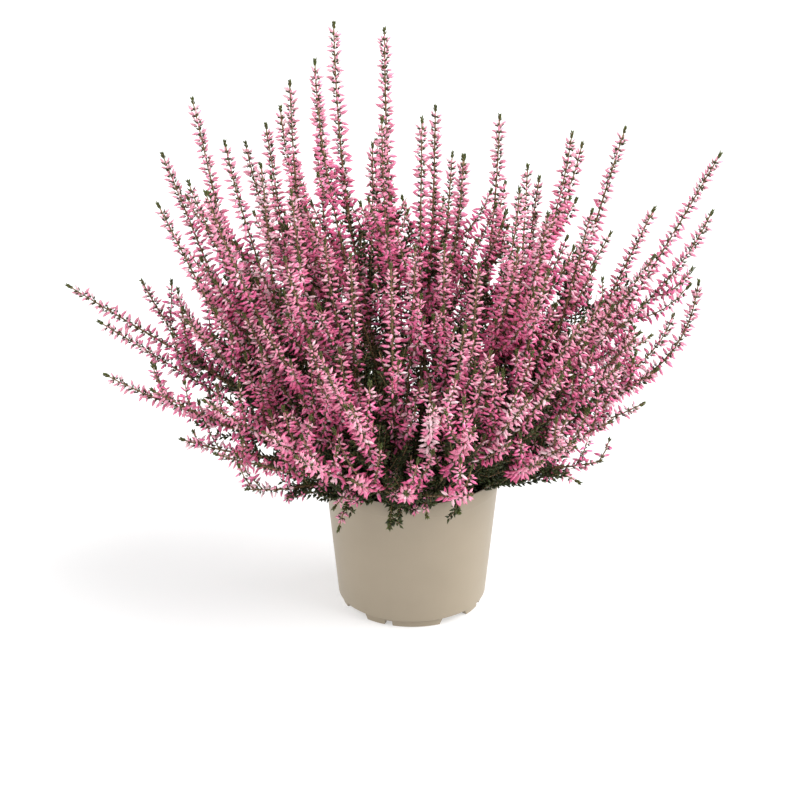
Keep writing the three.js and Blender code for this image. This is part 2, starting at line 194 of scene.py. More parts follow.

# %% [markdown]
# ## Buds
#
# A bud bloomer's flowers never open. What shows is the calyx, four waxy sepals folded to a
# point, pale where they leave the bracts and deep pink towards the tip. Three numbers are
# stored on the mesh for that: `along` runs from 0 at a bud's base to 1 at its tip, `tint` is a
# random number for each bud, and the third is 0 for young buds near a spike's end and 1 for old
# ones low on it. Young buds are paler, and this pallor is also a painted highlight on the outer
# tips, where the light falls. The old buds low on a spike, deep in the bush, are darkened to a
# wine red as painted shade. A few buds of every age are nearly white, which gives the bush its
# sparkle. The wax has a soft gloss, so the roughness is moderate.

# %% Waxy calyx
waxy_calyx, tree = empty_material("waxy_calyx")
along, tint, age_and_shade = stored(tree, "along", "tint", "age_and_shade")
colour = mix(tree, ramp(tree, along, 0.03, 0.35), "#ffeef0", "#f57aaf")  # pale base, pink body
for value, start, end, top, shade in (
    (along, 0.5, 1.0, 1.0, "#e3477f"),  # the deep pink tip
    (tint, 0.3, 0.0, 0.6, "#bc4a64"),  # dull buds
    (tint, 0.8, 0.98, 0.75, "#fff1f0"),  # nearly white buds
    # young buds: paler near a spike's tip, and also a painted highlight where the outer tips catch
    # the light
    (age_and_shade, 0.42, 0.0, 0.6, "#f2c6cd"),  # young buds
    # old buds low on a spike, deep in the bush: a wine red that is painted shade
    (age_and_shade, 0.5, 0.9, 0.6, "#7a2b3b"),  # withered buds
):
    colour = mix(tree, ramp(tree, value, start, end, top), colour, shade)
finish_material(tree, {"Base Color": colour, "Roughness": 0.42, "IOR": 1.45})

# %% [markdown]
# ## Scale leaves and bracts
#
# Heather has no flat leaves but tiny scales, 2 to 3 mm long, in pairs that hug the stem. The
# bract over a bud is the same thing. They are matt and dark green, and fresher green at the
# ends of the shoots. `tint` gives each scale its own tone. Old wood has a high third number,
# and there the scales turn brown; on the leaves low on the stems, inside the bush, the same
# brown is also painted shade. The bracts and the scales among the buds are nearly as brown.

# %% Scale leaf
scale_leaf, tree = empty_material("scale_leaf")
tint, age_and_shade = stored(tree, "tint", "age_and_shade")
green = mix(tree, tint, "#1f2a0e", "#5e6a2a")
# brown with age on old wood; on the low leaves inside the bush this darkening is also painted
# shade
colour = mix(tree, ramp(tree, age_and_shade, 0.55, 1.0, 0.55), green, "#3d2a18")
finish_material(tree, {"Base Color": colour, "Roughness": 0.6, "IOR": 1.45})

# %% [markdown]
# ## Stems
#
# Young heather stems are thin, reddish brown and slightly ribbed; older ones are woody, with a
# grey-brown bark that splits lengthwise. `age_and_shade` runs from 0 at the tip to 1 at the foot. The
# ribs and splits are a noise stretched along the stem, made with two coordinates that are
# stored on the mesh: `along` in millimetres of length, and `tint`, which goes once round.

# %% Heather bark
STREAK = 9  # mm of length for one streak of the bark
STREAKS_AROUND = 3.0

heather_bark, tree = empty_material("heather_bark")
along, tint, age_and_shade = stored(tree, "along", "tint", "age_and_shade")
stretched = add(tree, "CombineXYZ", {
    "X": add(tree, "Math", {0: along, 1: STREAK}, operation="DIVIDE").outputs[0],
    "Y": add(tree, "Math", {0: tint, 1: STREAKS_AROUND}, operation="MULTIPLY").outputs[0],
}).outputs[0]
streak = add(tree, "TexNoise", {"Vector": stretched, "Scale": 1.0, "Detail": 2.0}).outputs["Fac"]
young_to_old = mix(tree, age_and_shade, "#8a6248", "#54402c")
finish_material(tree, {
    "Base Color": mix(tree, streak, young_to_old, "#8b7a55"),
    "Roughness": 0.75,
    "Normal": relief(tree, streak, 0.5, 0.2),
})
PLANT_MATERIALS = [heather_bark, scale_leaf, waxy_calyx]
BARK, LEAF, CALYX = range(len(PLANT_MATERIALS))
print("materials of the plant:", ", ".join(material.name for material in PLANT_MATERIALS))

# %% [markdown]
# ## Skins over rings of points
#
# Nearly every surface here is a stack of rings: the pot's profile carried round its axis, a
# stem's section carried along its way, a bud between its two points. One function joins such
# a stack into a closed skin, with a single point as the pole at each end. Another one stores
# the finished parts as one mesh, writing whole arrays at once.

# %% Helpers for meshes
ATTRIBUTES = ("along", "tint", "age_and_shade")


def closed_skin(rings, first_pole, last_pole):
    """Points and triangles over rings[row, column], closed by a fan to a pole at each end.

    Four neighbours of the grid make two triangles. Their corners run anticlockwise seen from
    outside when the rings turn anticlockwise seen from the last pole.
    """
    rows, columns = rings.shape[:2]
    points = np.concatenate([[first_pole], rings.reshape(-1, 3), [last_pole]])
    here = np.arange(columns)
    following = (here + 1) % columns
    row = 1 + columns * np.arange(rows - 1)[:, None]
    low, low_next = row + here, row + following
    high, high_next = low + columns, low_next + columns
    walls = np.concatenate([
        np.stack([low, low_next, high_next], -1).reshape(-1, 3),
        np.stack([low, high_next, high], -1).reshape(-1, 3),
    ])
    top = 1 + columns * (rows - 1)
    first_fan = np.stack([0 * here, 1 + following, 1 + here], -1)
    last_fan = np.stack([top + here, top + following, 0 * here + len(points) - 1], -1)
    return points, np.concatenate([first_fan, walls, last_fan])


def part_of(points, faces, material, along=0.0, tint=0.0, age_and_shade=0.0):
    """A part of a piece: its points, its triangles, its material and the stored numbers."""
    numbers = {"along": along, "tint": tint, "age_and_shade": age_and_shade}
    return {
        "points": points,
        "faces": faces,
        "material": np.full(len(faces), material),
        **{name: np.broadcast_to(value, len(points)) for name, value in numbers.items()},
    }


def make_piece(name, parts, materials, smooth_below=None):
    """One object of all the parts, in metres in the part's frame, with its numbers stored."""
    starts = np.cumsum([0] + [len(part["points"]) for part in parts[:-1]])
    points = np.concatenate([part["points"] for part in parts]) * MM + POT_AXIS
    faces = np.concatenate([part["faces"] + start for part, start in zip(parts, starts)])
    mesh = bpy.data.meshes.new(name)
    mesh.vertices.add(len(points))
    mesh.vertices.foreach_set("co", points.ravel())
    mesh.loops.add(faces.size)
    mesh.loops.foreach_set("vertex_index", faces.ravel())
    mesh.polygons.add(len(faces))
    mesh.polygons.foreach_set("loop_start", 3 * np.arange(len(faces)))
    mesh.polygons.foreach_set("material_index", np.concatenate([p["material"] for p in parts]))
    mesh.update(calc_edges=True)
    for attribute in ATTRIBUTES:
        values = np.concatenate([part[attribute] for part in parts])
        mesh.attributes.new(attribute, "FLOAT", "POINT").data.foreach_set("value", values)
    for material in materials:
        mesh.materials.append(material)
    mesh.shade_smooth()
    if smooth_below is not None:
        mesh.set_sharp_from_angle(angle=np.radians(smooth_below))
    piece = bpy.data.objects.new(name, mesh)
    bpy.context.scene.collection.objects.link(piece)
    return piece


def stand_for(piece, node):
    """Lets a finished piece ride with the part in a CAD node's stead, and hides that node."""
    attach(piece, "root")
    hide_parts(node)
    return len(piece.data.polygons)


# %% [markdown]
# ## The pot
#
# The pot is a turned shape but for its foot ring, which the mould cuts into feet: four wide
# gaps that let water out, and four small notches. A lathe and a set of cutters could make it,
# and so could one formula: the profile is carried round the axis, and wherever the profile
# lies below the base, its height shrinks by how much of the foot is left at that angle. Every
# corner of the profile is rounded by 0.35 mm, as a moulded edge is, to catch a line of light.

# %% The pot's profile and feet
POT_HEIGHT, RIM_RADIUS, WALL = 90, 55, 1.2
BAND_LOW, BAND_STEP, SHOULDER_RADIUS = 80, 0.6, 54.2
BASE_HEIGHT, BASE_RADIUS, BASE_THICKNESS = 5, 46.3, 1.6
FOOT_INNER, FOOT_OUTER = 40.5, 44
GAP_FROM, GAP_TO, GAP_SLOPE, GAP_HEIGHT = 23, 51, 3, 4.4
NOTCH_FROM, NOTCH_TO, NOTCH_SLOPE, NOTCH_HEIGHT = 67, 74, 0.4, 3
QUARTER = 90  # degrees after which gaps and notches repeat, counted from the front
EDGE_RADIUS = 0.35
POT_STEP = 2.25  # degrees between two columns of the pot's surface
SHARP_FROM = 50  # degrees from which an edge of the pot is shaded sharp


def wall_radius(height):
    """Outer radius of the wall below the band: a straight line from base to band."""
    top = SHOULDER_RADIUS - BAND_STEP
    return BASE_RADIUS + (top - BASE_RADIUS) * (height - BASE_HEIGHT) / (BAND_LOW - BASE_HEIGHT)


def foot_cut(degrees):
    """How high the foot ring is cut away at an angle: ramps up into and out of each cut."""
    local = np.mod(degrees + QUARTER, QUARTER)
    cut = np.zeros_like(local)
    for start, end, slope, height in (
        (GAP_FROM, GAP_TO, GAP_SLOPE, GAP_HEIGHT),
        (NOTCH_FROM, NOTCH_TO, NOTCH_SLOPE, NOTCH_HEIGHT),
    ):
        ramp = np.clip(np.minimum(local - start, end - local) / slope, 0, 1)
        cut = np.maximum(cut, ramp * height)
    return cut


def rounded(profile, radius):
    """Each corner of a profile as three points: one on each side, and between them the middle
    of the quadratic curve that the corner pulls: a quarter, a half and a quarter."""
    before, corner, after = profile[:-2], profile[1:-1], profile[2:]
    back, forth = before - corner, after - corner
    start = corner + back * (radius / np.linalg.norm(back, axis=1, keepdims=True))
    end = corner + forth * (radius / np.linalg.norm(forth, axis=1, keepdims=True))
    middle = 0.25 * start + 0.5 * corner + 0.25 * end
    return np.stack([start, middle, end], 1).reshape(-1, 2)


floor_height = BASE_HEIGHT + BASE_THICKNESS
profile = rounded(np.array([
    (0, BASE_HEIGHT),
    (FOOT_INNER, BASE_HEIGHT),
    (FOOT_INNER, 0),
    (FOOT_OUTER, 0),
    (FOOT_OUTER, BASE_HEIGHT),
    (BASE_RADIUS, BASE_HEIGHT),
    (wall_radius(BAND_LOW), BAND_LOW),
    (SHOULDER_RADIUS, BAND_LOW),
    (RIM_RADIUS, POT_HEIGHT),
    (RIM_RADIUS - WALL, POT_HEIGHT),
    (wall_radius(floor_height) - WALL, floor_height),
    (0, floor_height),
]), EDGE_RADIUS)
deepest_cut = foot_cut(np.arange(0.0, QUARTER)).max()
print(f"{len(profile)} profile points, foot cut up to {deepest_cut} mm")

# %% The pot's surface
ramps = np.array([
    GAP_FROM, GAP_FROM + GAP_SLOPE, GAP_TO - GAP_SLOPE, GAP_TO,
    NOTCH_FROM, NOTCH_FROM + NOTCH_SLOPE, NOTCH_TO - NOTCH_SLOPE, NOTCH_TO,
])
quarter_turns = np.arange(4)[:, None] * QUARTER
even_steps = np.arange(0, 360, POT_STEP)
degrees = np.unique(np.concatenate([even_steps, (quarter_turns + ramps).ravel()]))
around_pot = np.radians(degrees)
radius, height = profile[:, :1], profile[:, 1:]
left_of_foot = 1 - foot_cut(degrees) / BASE_HEIGHT
sunk = BASE_HEIGHT - (BASE_HEIGHT - height) * left_of_foot
rings = np.stack([
    radius * np.cos(around_pot),
    radius * np.sin(around_pot),
    np.where(height < BASE_HEIGHT, sunk, height + 0 * around_pot),
], -1)
pot_part = part_of(*closed_skin(rings, (0, 0, BASE_HEIGHT), (0, 0, floor_height)), 0)
pot = make_piece("moulded_pot", [pot_part], [moulded_polypropylene], smooth_below=SHARP_FROM)
print("pot:", stand_for(pot, "pot"), "triangles")

# %% [markdown]
# ## The compost
#
# The compost fills the pot to a finger's breadth below the rim, crowned in the middle where
# the heather's root ball stands. Its top is a grid of rings whose heights get a rough field,
# a sum of waves with random directions; its side and underside are plain, because the pot
# hides them. It has no holes for the stems, which simply run into it. Loose crumbs lie on it:
# squat spindles of twenty faces, sunk to half.

# %% The compost's top
SOIL_TOP, SOIL_CROWN, SOIL_EDGE_DROP = 80, 1.5, 1.5
FLAT_UP_TO = 47  # radius at which the crown has come down to the surface
GAP_TO_POT = 0.3
ROUGHNESS = 0.55  # mm, of the whole rough field
SMOOTH_EDGE = 3  # mm at the edge over which the rough field dies out
SOIL_RINGS, SOIL_COLUMNS, FIRST_RING = 44, 96, 0.8
SOIL_SEED = 3

random = np.random.default_rng(SOIL_SEED)
edge_radius = wall_radius(SOIL_TOP - SOIL_EDGE_DROP) - WALL - GAP_TO_POT
bottom_height = floor_height + GAP_TO_POT
bottom_radius = wall_radius(bottom_height) - WALL - GAP_TO_POT


def rough_field(x, y, random, waves=24, shortest=3.0, longest=16.0):
    """A sum of sine waves of random direction, length and phase, each as high as it is long."""
    turn, phase = random.uniform(0, 2 * np.pi, (2, waves))
    length = random.uniform(shortest, longest, waves)
    run = x[..., None] * np.cos(turn) + y[..., None] * np.sin(turn)
    field = np.sin(2 * np.pi * run / length + phase) * length
    return field.sum(-1) / np.sqrt(waves) / longest


def crowned(out):
    """Height of the compost without its roughness, at a distance from the pot's axis."""
    drop = [SOIL_CROWN, 0, -SOIL_EDGE_DROP]
    return SOIL_TOP + np.interp(out, [0, FLAT_UP_TO, edge_radius], drop)


around_soil = np.linspace(0, -2 * np.pi, SOIL_COLUMNS, endpoint=False)
out = np.linspace(FIRST_RING, edge_radius, SOIL_RINGS)[:, None]
x, y = out * np.cos(around_soil), out * np.sin(around_soil)
at_edge = np.clip((edge_radius - out) / SMOOTH_EDGE, 0, 1)
top_rings = np.stack([x, y, crowned(out) + ROUGHNESS * rough_field(x, y, random) * at_edge], -1)
underside = bottom_radius / edge_radius * top_rings[-1:] * (1, 1, 0) + (0, 0, bottom_height)
rings = np.concatenate([top_rings, underside])
compost_skin = closed_skin(rings, (0, 0, SOIL_TOP + SOIL_CROWN), (0, 0, bottom_height))

# %% [markdown]
# ## Small shapes and their copies
#
# Crumbs, buds, bracts and leaves are all spindles: rings between two points, wide or slim,
# round or flat. The bush holds more than twenty thousand buds, so a bud has only sixteen faces
# and a leaf has six. A copy is the small shape with its own three axes, worked out for all
# copies at once: a point's place is the root plus its sideways, flat and lengthwise share.

# %% Spindles
def spindle(sides, heights, radii, flatness=1.0):
    """Points and triangles of a closed spindle along +Z, from a point at 0 to a point at 1.

    Its ring at each height is an ellipse: radius times (cos, flatness * sin) of the turn.
    """
    turn = np.arange(sides) / sides * 2 * np.pi
    heights, radii = np.array(heights)[:, None], np.array(radii)[:, None]
    rings = np.stack([
        radii * np.cos(turn),
        flatness * radii * np.sin(turn),
        heights + 0 * turn,
    ], -1)
    return closed_skin(rings, (0, 0, 0), (0, 0, 1))


def unit(vectors):
    """The same directions, one long."""
    return vectors / np.linalg.norm(vectors, axis=-1, keepdims=True)


def copies(shape, roots, pointing, beside, length, width, material, tint, age_and_shade):
    """A part of many copies of a small shape: root + width * (x beside + y flat) + length * z."""
    points, faces = shape
    flat = np.cross(pointing, beside)
    width, length = (np.broadcast_to(v, len(roots))[:, None, None] for v in (width, length))
    x, y, z = (points[None, :, k, None] for k in range(3))
    placed = (
        roots[:, None]
        + width * (x * beside[:, None] + y * flat[:, None])
        + length * z * pointing[:, None]
    )
    each = len(points)
    first = each * np.arange(len(roots))[:, None, None]
    return part_of(
        placed.reshape(-1, 3),
        (faces[None] + first).reshape(-1, 3),
        material,
        along=np.tile(points[:, 2], len(roots)),
        tint=np.repeat(np.broadcast_to(tint, len(roots)), each),
        age_and_shade=np.repeat(np.broadcast_to(age_and_shade, len(roots)), each),
    )


CRUMB = spindle(5, [0.28, 0.72], [0.5, 0.45])
BUD = spindle(4, [0.2, 0.6], [0.85, 0.9])
LEAF_SCALE = spindle(3, [0.38], [1.0])
print("faces of a bud:", len(BUD[1]), "and of a leaf:", len(LEAF_SCALE[1]))

# %% The compost with its crumbs
CRUMBS = 420
CRUMB_SIZES, CRUMB_WIDTH = (1.0, 3.2), 0.8  # lengths in mm, and the width as a share of them
CRUMBS_WITHIN = 0.93  # share of the compost's area, from its middle, on which they lie
CRUMB_TILT = 0.3  # how far they lean out of upright, as a share of their length

out = edge_radius * np.sqrt(random.uniform(0, CRUMBS_WITHIN, CRUMBS))
turn = random.uniform(0, 2 * np.pi, CRUMBS)
size = random.uniform(*CRUMB_SIZES, CRUMBS)
roots = np.stack([out * np.cos(turn), out * np.sin(turn), crowned(out) - size / 2], -1)
pointing = unit(random.normal(0, CRUMB_TILT, (CRUMBS, 3)) + (0, 0, 1))
beside = unit(np.cross(pointing, random.normal(0, 1, (CRUMBS, 3))))
crumbs = copies(CRUMB, roots, pointing, beside, size, size * CRUMB_WIDTH, 0, 0, 0)
compost = make_piece("peat_compost", [part_of(*compost_skin, 0), crumbs], [peat])
print("compost:", stand_for(compost, "soil"), "triangles")

# %% [markdown]
# ## The ways of the stems
#
# The CAD part already settles how every stem runs, and collision and mass follow it. So the
# same few numbers lay the same curves here. A spray is a main spike and its side spikes, each
# given by the azimuth, the lean from upright and the distance of its tip from the middle of
# the compost, and for some the lean of the last stretch. The further a spray leans, the
# further out it stands, and every stem bows up towards its tip. A side stem leaves its main
# stem at an angle, and a low shoot arches over the rim.

# %% Sprays and shoots
SPRAYS = [
    # the crown
    [(174, 9, 294), (195, 12, 280)],
    [(146, 4, 286), (233, 7, 244)],
    [(50, 5, 238), (284, 5, 242), (348, 8, 216)],
    [(172, 16, 264), (154, 21, 246)],
    [(133, 20, 244), (112, 18, 210), (98, 29, 186)],
    [(16, 13, 238), (6, 23, 242), (21, 28, 234)],
    [(347, 18, 222), (324, 20, 220)],
    # the upper left
    [(176, 28, 276), (190, 26, 252)],
    [(178, 35, 258), (191, 33, 244)],
    [(193, 38, 246), (205, 32, 246)],
    [(146, 27, 238), (161, 27, 234)],
    [(193, 23, 232), (213, 22, 222)],
    # the upper right
    [(30, 26, 204), (37, 37, 196)],
    [(21, 33, 254), (31, 47, 200)],
    [(349, 30, 214), (330, 25, 212)],
    [(356, 38, 232), (348, 42, 216)],
    [(3, 41, 278), (355, 44, 254, 20)],
    # the right
    [(5, 54, 216, 4), (17, 62, 194, 14)],
    [(350, 60, 172), (341, 43, 182)],
    [(341, 50, 184), (328, 52, 178), (344, 64, 160)],
    [(329, 62, 154), (314, 62, 152)],
    [(335, 73, 130), (305, 64, 144)],
    # the left
    [(177, 59, 244, 57), (185, 59, 220, 55)],
    [(191, 65, 206), (201, 62, 186)],
    [(168, 55, 208, 25), (155, 60, 190, 32)],
    [(202, 70, 158), (216, 68, 154)],
    [(223, 74, 138), (215, 58, 174)],
    # the front
    [(205, 40, 170), (200, 48, 190), (211, 57, 150)],
    [(233, 38, 162), (221, 40, 180), (229, 53, 140)],
    [(239, 22, 186), (221, 21, 188), (223, 30, 200)],
    [(261, 25, 192), (271, 19, 188)],
    [(298, 25, 188), (287, 19, 188), (318, 25, 192)],
    [(245, 62, 176), (235, 59, 172), (226, 67, 140)],
    [(255, 51, 174), (247, 45, 176)],
    [(294, 40, 168), (288, 34, 170), (298, 58, 140)],
    [(284, 55, 170), (275, 50, 170)],
    [(268, 67, 142), (255, 65, 148), (284, 68, 146)],
    [(310, 49, 174), (300, 51, 170), (319, 64, 140)],
    [(331, 41, 190), (320, 42, 188), (318, 32, 196)],
    # the back
    [(50, 48, 214), (64, 42, 206), (58, 58, 196)],
    [(78, 36, 214), (70, 28, 206), (84, 48, 206)],
    [(100, 40, 212), (94, 54, 204), (110, 56, 180)],
    [(122, 40, 214), (116, 54, 206), (132, 48, 204)],
    [(142, 50, 212), (150, 42, 220), (160, 48, 200)],
    [(40, 66, 198), (28, 70, 186)],
    [(74, 68, 194), (60, 64, 190)],
    [(104, 68, 194), (88, 66, 188)],
    [(134, 67, 194), (120, 66, 188), (146, 70, 180)],
]

# Azimuth, reach of the tip from the pot's axis, height of the tip, green share of the length.
SHOOTS = [
    (234, 76, 76, 0.75),
    (241, 96, 102, 0.4),
    (258, 66, 79, 1),
    (263, 65, 85, 1),
    (276, 80, 94, 0.5),
    (295, 66, 87, 1),
    (340, 108, 96, 0.7),
    (22, 84, 96, 0.6),
    (112, 72, 86, 1),
    (165, 80, 90, 0.6),
]
SOIL_CENTRE = np.array([0.0, 0.0, SOIL_TOP])
print(len(SPRAYS), "sprays with", sum(map(len, SPRAYS)), "spikes, and", len(SHOOTS), "shoots")

# %% Curves
INNERMOST, OUTERMOST = 3, 41  # how far from the middle the steepest and the lowest stem stand
LOWEST_LEAN, OUTWARD = 74, 0.85  # the lowest stem's lean, and the power between those two
FOOT_RISE, FOOT_DEPTH = 2, 11.7  # a stem's curve starts above the soil, its tube below it
LEAN_AT_FOOT, MOST_AT_FOOT = 0.1, 50  # share of the square of the lean, and the most degrees
LEAN_AT_TIP, ENDS_UPRIGHT, MORE_AT_TIP = 0.1, 20, 1.1
HOLD = 0.45  # how long a stem keeps these leans, as a share of its length
FORK_FIRST, FORK_NEXT, FORK_SPREAD = 0.2, 0.12, 0.7  # shares of the main stem, and the spread
FORK_HOLD_ROOT, FORK_HOLD_TIP = 0.22, 0.4
SHOOT_FOOT, SHOOT_RISE, SHOOT_CREST, SHOOT_CREST_SHARE = 45, 16, 22, 0.45
WAY_SAMPLES = 120


def leaning(azimuth, lean):
    """Unit vector that leans from upright towards an azimuth, with l the lean and a the azimuth:
    (sin l cos a, sin l sin a, cos l)."""
    azimuth, lean = np.radians(azimuth), np.radians(lean)
    level = np.sin(lean)
    return np.array([level * np.cos(azimuth), level * np.sin(azimuth), np.cos(lean)])


def bezier(holds, t):
    """Points and unit directions of a cubic curve: the four holds weighted by (1-t)^3,
    3t(1-t)^2, 3t^2(1-t) and t^3, and the weighted steps between them for the direction."""
    t = np.atleast_1d(t)[:, None]
    a, b, c, d = holds
    s = 1 - t
    points = s**3 * a + 3 * t * s**2 * b + 3 * t**2 * s * c + t**3 * d
    return points, unit(s**2 * (b - a) + 2 * t * s * (c - b) + t**2 * (d - c))


def tip_of(spike):
    """A spike's tip, and the direction in which it ends: its own lean, if it gives one, or else
    a small share of the whole lean, and more for each degree beyond ENDS_UPRIGHT."""
    azimuth, lean, distance, *own_lean = spike
    usual = LEAN_AT_TIP * lean + MORE_AT_TIP * max(0, lean - ENDS_UPRIGHT)
    end_lean = own_lean[0] if own_lean else usual
    return SOIL_CENTRE + distance * leaning(azimuth, lean), leaning(azimuth, end_lean)


def main_holds(spike):
    """The four holds of a main stem, from its foot in the compost to its tip."""
    azimuth, lean, *_ = spike
    out = INNERMOST + (OUTERMOST - INNERMOST) * (lean / LOWEST_LEAN) ** OUTWARD
    foot = SOIL_CENTRE + out * leaning(azimuth, 90) + (0, 0, FOOT_RISE)
    start = leaning(azimuth, min(LEAN_AT_FOOT * lean**2, MOST_AT_FOOT))
    tip, end = tip_of(spike)
    hold = HOLD * np.linalg.norm(tip - foot)
    return foot, foot + hold * start, tip - hold * end, tip


def side_holds(main, spike, order):
    """The four holds of a side stem, which leaves its main stem the higher, the later it comes."""
    (root,), (onward,) = bezier(main, FORK_FIRST + FORK_NEXT * order)
    tip, end = tip_of(spike)
    span = np.linalg.norm(tip - root)
    across = unit(tip - root - ((tip - root) @ onward) * onward)
    start = unit(onward + FORK_SPREAD * across)
    return root, root + FORK_HOLD_ROOT * span * start, tip - FORK_HOLD_TIP * span * end, tip


def shoot_holds(azimuth, reach, height):
    """The four holds of a low shoot: up from the compost, over the rim, and down to its tip."""
    level = leaning(azimuth, 90)
    crest = SHOOT_FOOT + (reach - SHOOT_FOOT) * SHOOT_CREST_SHARE
    foot = SHOOT_FOOT * level + (0, 0, SOIL_TOP + FOOT_RISE)
    return (
        foot,
        foot + (0, 0, SHOOT_RISE),
        crest * level + (0, 0, POT_HEIGHT + SHOOT_CREST),
        reach * level + (0, 0, height),
    )


def way_along(holds, azimuth):
    """Samples of a curve: point, direction, a level direction square to it, and its length."""
    points, direction = bezier(holds, np.linspace(0, 1, WAY_SAMPLES))
    level = leaning(azimuth + 90, 90)
    across = unit(level - (direction @ level)[:, None] * direction)
    steps = np.linalg.norm(np.diff(points, axis=0), axis=1)
    run = np.concatenate([[0], np.cumsum(steps)])
    return {"read": np.hstack([points, direction, across]), "run": run, "length": run[-1]}


def at_run(way, run):
    """Point, direction and across at distances along a way, each read between its samples."""
    read = np.stack([np.interp(run, way["run"], column) for column in way["read"].T], -1)
    return read[:, :3], unit(read[:, 3:6]), unit(read[:, 6:])


# %% [markdown]
# ## Dressing a stem
#
# A stem is a tube along its way, thick and woody at the foot and thin at the tip. Buds stand
# off it in whorls of four, each whorl turned on from the last, and a bract lies over every
# bud. Among the whorls stand small brown scale leaves, and the last 5 mm are a slim tuft of
# young scales. Where a stem is still green, its scales stand in close ranks. A particle system
# could scatter all this, but the export would drop it, so each kind is one array of copies.

# %% Sizes of stems, buds and leaves
STEM_SIDES = 5
STEM_STEP = 9  # mm between two rings of a stem
WHORL_GAP, WHORL_CROWDING = 4.2, 0.16  # mean gap, and how much closer the last whorls stand
BUDS_IN_WHORL = 4
WHORL_TURN = np.radians(40)
BUD_LENGTH, BUD_LENGTH_AT_TIP = 5.7, 4.3
BUD_WIDTH, BUD_WIDTH_AT_TIP = 1.0, 0.75  # radius of a bud
BUD_RISE, MORE_RISE_AT_TIP = 4, 34  # degrees by which a bud points up the stem
TAPER_OVER = 0.26  # share of a stem over which its buds get smaller and point up
BARE_TIP, BARE_SHARE = 5, 0.2  # mm without buds at the end, at most this share of the stem
BUD_STALK = 0.2
OFF_WHORL = 1.0  # mm by which a bud stands before or behind its whorl at most
BUD_TURN_SCATTER, BUD_RISE_SCATTER = 0.28, 0.3  # radians
BUD_SIZE_SCATTER, SMALLEST_BUD, LARGEST_BUD = 0.1, 0.7, 1.25
BRACT_LENGTH, BRACT_WIDTH, BRACT_AGE = 2.6, 0.75, 0.75
BRACT_ROOT, BRACT_TILT, BRACT_SCATTER = 0.3, 0.6, 0.25  # mm before the bud's root, and slopes
BRACT_TINTS = (0, 0.7)
LEAF_LENGTH, LEAF_WIDTH = 2.5, 0.6
LEAF_OFF_AXIS = 0.3  # mm from the stem's axis to a leaf's root
LEAF_TURN_SCATTER, LEAF_RISE_SCATTER, LEAF_SIZE_SCATTER = 0.2, 0.12, 0.12
TUFT_FROM = 1  # mm beyond the last buds
TUFT_LEAVES = {"gap": 1.0, "ranks": 3, "rise": 68, "size": 0.95, "tint": (0.3, 0.8)}

# %% Stem, buds and leaves
def bare_from(length):
    """Where on a stem of some length the last buds stand: the bare tip follows."""
    return length - min(BARE_TIP, BARE_SHARE * length)


def stand_off(direction, across, angle, rise):
    """Unit vectors off a stem, turned by an angle round it and risen towards its tip, the
    same vectors without the rise, and the directions beside them."""
    other = np.cross(direction, across)
    out = np.cos(angle)[:, None] * across + np.sin(angle)[:, None] * other
    pointing = np.cos(rise)[:, None] * out + np.sin(rise)[:, None] * direction
    return pointing, out, np.cross(direction, out)


def stem_part(way, root_radius, tip_radius, age_at_root, below=0.0):
    """A tube along a way whose radius falls evenly; below is how far it stands in the soil."""
    run = np.linspace(0, way["length"], max(3, round(way["length"] / STEM_STEP)))
    points, direction, across = at_run(way, run)
    share = run / way["length"]
    if below:
        points = np.vstack([points[:1] - (0, 0, below), points])
        direction = np.vstack([[(0, 0, 1)], direction])
        across = np.vstack([across[:1], across])
        share = np.concatenate([[0], share])
    other = np.cross(direction, across)
    turn = np.arange(STEM_SIDES) / STEM_SIDES * 2 * np.pi
    radius = (root_radius + (tip_radius - root_radius) * share)[:, None, None]
    section = np.cos(turn)[:, None] * across[:, None] + np.sin(turn)[:, None] * other[:, None]
    rings = points[:, None] + radius * section
    ends = (points[0], points[-1] + tip_radius * direction[-1])
    poles_and_rings = np.concatenate([[0], np.repeat(share, STEM_SIDES), [1]])
    return part_of(
        *closed_skin(rings, *ends),
        BARK,
        along=poles_and_rings * way["length"],
        tint=np.concatenate([[0], np.tile(turn / (2 * np.pi), len(share)), [0]]),
        age_and_shade=age_at_root * (1 - poles_and_rings),
    )


